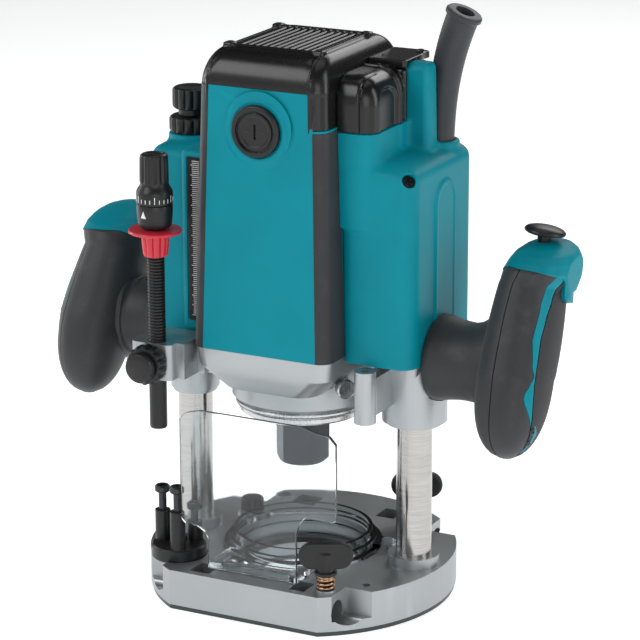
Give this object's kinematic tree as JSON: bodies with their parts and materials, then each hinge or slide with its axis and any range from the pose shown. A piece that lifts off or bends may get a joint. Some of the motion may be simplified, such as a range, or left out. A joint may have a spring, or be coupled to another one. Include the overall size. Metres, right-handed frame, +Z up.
{
  "type": "plunge router",
  "caption": "Two-handle plunge router: cast round base, sprung guide columns, motor housing, depth stop with turret, clear chip shield and clamped collet.",
  "frame": {"origin": "where the spindle axis meets the underside of the sole plate", "axes": "+Z up along the spindle, -Y towards the front brush cap and the chip shield, +X towards the handle with the trigger"},
  "size_m": [0.2737, 0.1519, 0.3022],
  "materials": {
    "teal_plastic": "fine-textured moulded nylon in teal, satin",
    "gloss_black": "glossy black moulded plastic",
    "grip_rubber": "dark grey soft-touch elastomer, matte",
    "guard_rubber": "dark grey bumper rubber, matte",
    "boot_rubber": "dark grey flexible rubber",
    "cast_aluminium": "silver painted die casting, fine sparkle",
    "machined_aluminium": "turned aluminium with fine rings",
    "column_steel": "ground and polished steel",
    "dark_steel": "black-oxide steel",
    "bright_steel": "bright steel",
    "sole_plastic": "dark smooth phenolic",
    "black_plastic": "black moulded nylon",
    "red_plastic": "red moulded plastic",
    "clear_plastic": "clear polycarbonate",
    "spring_steel": "spring wire, warm tint",
    "bronze": "sintered bronze",
    "copper": "copper",
    "lamination": "stacked steel laminations",
    "carbon": "pressed carbon"
  },
  "bodies": {
    "base": {"base_casting": "cast_aluminium", "sole_plate": "sole_plastic", "sole_screws": "dark_steel", "guide_columns": "column_steel", "limit_rod": "dark_steel", "dust_guard": "clear_plastic", "chip_shield": "clear_plastic", "turret_screw": "dark_steel", "guide_screw_springs": "spring_steel"},
    "guard_screw": {"dust_guard_screw": "black_plastic"},
    "front_wing_screw": {"front_guide_screw": "black_plastic"},
    "rear_wing_screw": {"rear_guide_screw": "black_plastic"},
    "turret": {"stop_turret": "black_plastic", "turret_bolts": "dark_steel"},
    "lower_nut": {"lower_limit_nut": "black_plastic"},
    "upper_nut": {"upper_limit_nut": "black_plastic"},
    "spindle": {"spindle_shaft": "bright_steel", "armature_core": "lamination", "commutator": "copper", "cooling_fan": "black_plastic", "collet_cone": "bright_steel", "collet_nut": "dark_steel"},
    "pole": {"stop_pole": "black_plastic"},
    "pointer": {"pole_pointer": "red_plastic"},
    "dial": {"pole_dial": "black_plastic"},
    "pole_clamp": {"pole_clamp_knob": "black_plastic"},
    "lock_lever": {"plunge_lock_lever": "black_plastic"},
    "trigger_lever": {"trigger": "black_plastic"},
    "lock_button": {"lock_off_button": "black_plastic"},
    "shaft_lock": {"shaft_lock_pin": "bright_steel"},
    "carriage": {"bracket_casting": "cast_aluminium", "pole_clamp_lug": "cast_aluminium", "column_bushes": "bronze", "motor_housing": "teal_plastic", "corner_guards": "guard_rubber", "top_cover": "gloss_black", "vent_cowl": "gloss_black", "right_housing": "teal_plastic", "left_housing": "teal_plastic", "depth_scale": "black_plastic", "cord_boot": "boot_rubber", "right_grip_inner": "grip_rubber", "right_grip_outer": "grip_rubber", "right_grip_cap": "teal_plastic", "left_grip_inner": "grip_rubber", "left_grip_outer": "grip_rubber", "left_grip_cap": "teal_plastic", "field_core": "lamination", "field_coils": "copper", "brush_holders": "bronze", "carbon_brushes": "carbon", "brush_caps": "black_plastic", "lower_bearing": "bright_steel", "upper_bearing": "bright_steel", "bearing_retainer": "machined_aluminium", "retainer_screws": "dark_steel", "switch_body": "black_plastic", "housing_screws": "dark_steel", "column_springs": "spring_steel"}
  },
  "joints": [
    {"name": "plunge", "type": "slide", "parent": "base", "child": "carriage", "axis": [0, 0, 1], "range_m": [-0.057, 0], "stiffness_N_per_m": 400, "springref_m": 0.15, "deforming": ["column_springs"]},
    {"name": "spindle_spin", "type": "hinge", "parent": "carriage", "child": "spindle", "pos_m": [0, 0, 0.1], "axis": [0, 0, 1], "continuous": true},
    {"name": "pole_slide", "type": "slide", "parent": "carriage", "child": "pole", "axis": [0, 0, 1], "range_m": [-0.006, 0.024]},
    {"name": "dial_turn", "type": "hinge", "parent": "pole", "child": "dial", "pos_m": [-0.0538, -0.0535, 0.22], "axis": [0, 0, 1], "continuous": true},
    {"name": "pointer_slide", "type": "slide", "parent": "pole", "child": "pointer", "axis": [0, 0, 1], "range_m": [-0.032, 0]},
    {"name": "pole_clamp_turn", "type": "hinge", "parent": "carriage", "child": "pole_clamp", "pos_m": [-0.0538, -0.06, 0.1268], "axis": [0, -1, 0], "range_deg": [0, 180]},
    {"name": "turret_turn", "type": "hinge", "parent": "base", "child": "turret", "pos_m": [-0.049, -0.0435, 0.025], "axis": [0, 0, 1], "range_deg": [-120, 120]},
    {"name": "lower_nut_turn", "type": "hinge", "parent": "base", "child": "lower_nut", "pos_m": [-0.0627, 0, 0.235], "axis": [0, 0, 1], "continuous": true},
    {"name": "upper_nut_turn", "type": "hinge", "parent": "base", "child": "upper_nut", "pos_m": [-0.0627, 0, 0.25], "axis": [0, 0, 1], "continuous": true},
    {"name": "front_wing_turn", "type": "hinge", "parent": "base", "child": "front_wing_screw", "pos_m": [0.0417, -0.0566, 0.03], "axis": [0, 0, 1], "continuous": true},
    {"name": "rear_wing_turn", "type": "hinge", "parent": "base", "child": "rear_wing_screw", "pos_m": [0.0376, 0.0564, 0.03], "axis": [0, 0, 1], "continuous": true},
    {"name": "guard_screw_turn", "type": "hinge", "parent": "base", "child": "guard_screw", "pos_m": [-0.0395, 0.0184, 0.03], "axis": [0, 0, 1], "continuous": true},
    {"name": "plunge_lock_turn", "type": "hinge", "parent": "carriage", "child": "lock_lever", "pos_m": [-0.0627, 0.03, 0.118], "axis": [0, 1, 0], "range_deg": [-45, 0]},
    {"name": "trigger_pull", "type": "slide", "parent": "carriage", "child": "trigger_lever", "axis": [0, -1, 0], "range_m": [0, 0.005], "stiffness_N_per_m": 400, "springref_m": -0.004},
    {"name": "lock_button_press", "type": "slide", "parent": "carriage", "child": "lock_button", "axis": [0, 0, -1], "range_m": [0, 0.0022], "stiffness_N_per_m": 300, "springref_m": -0.004},
    {"name": "shaft_lock_press", "type": "slide", "parent": "carriage", "child": "shaft_lock", "axis": [-0.7986, 0.6018, 0], "range_m": [0, 0.0045], "stiffness_N_per_m": 400, "springref_m": -0.004}
  ]
}
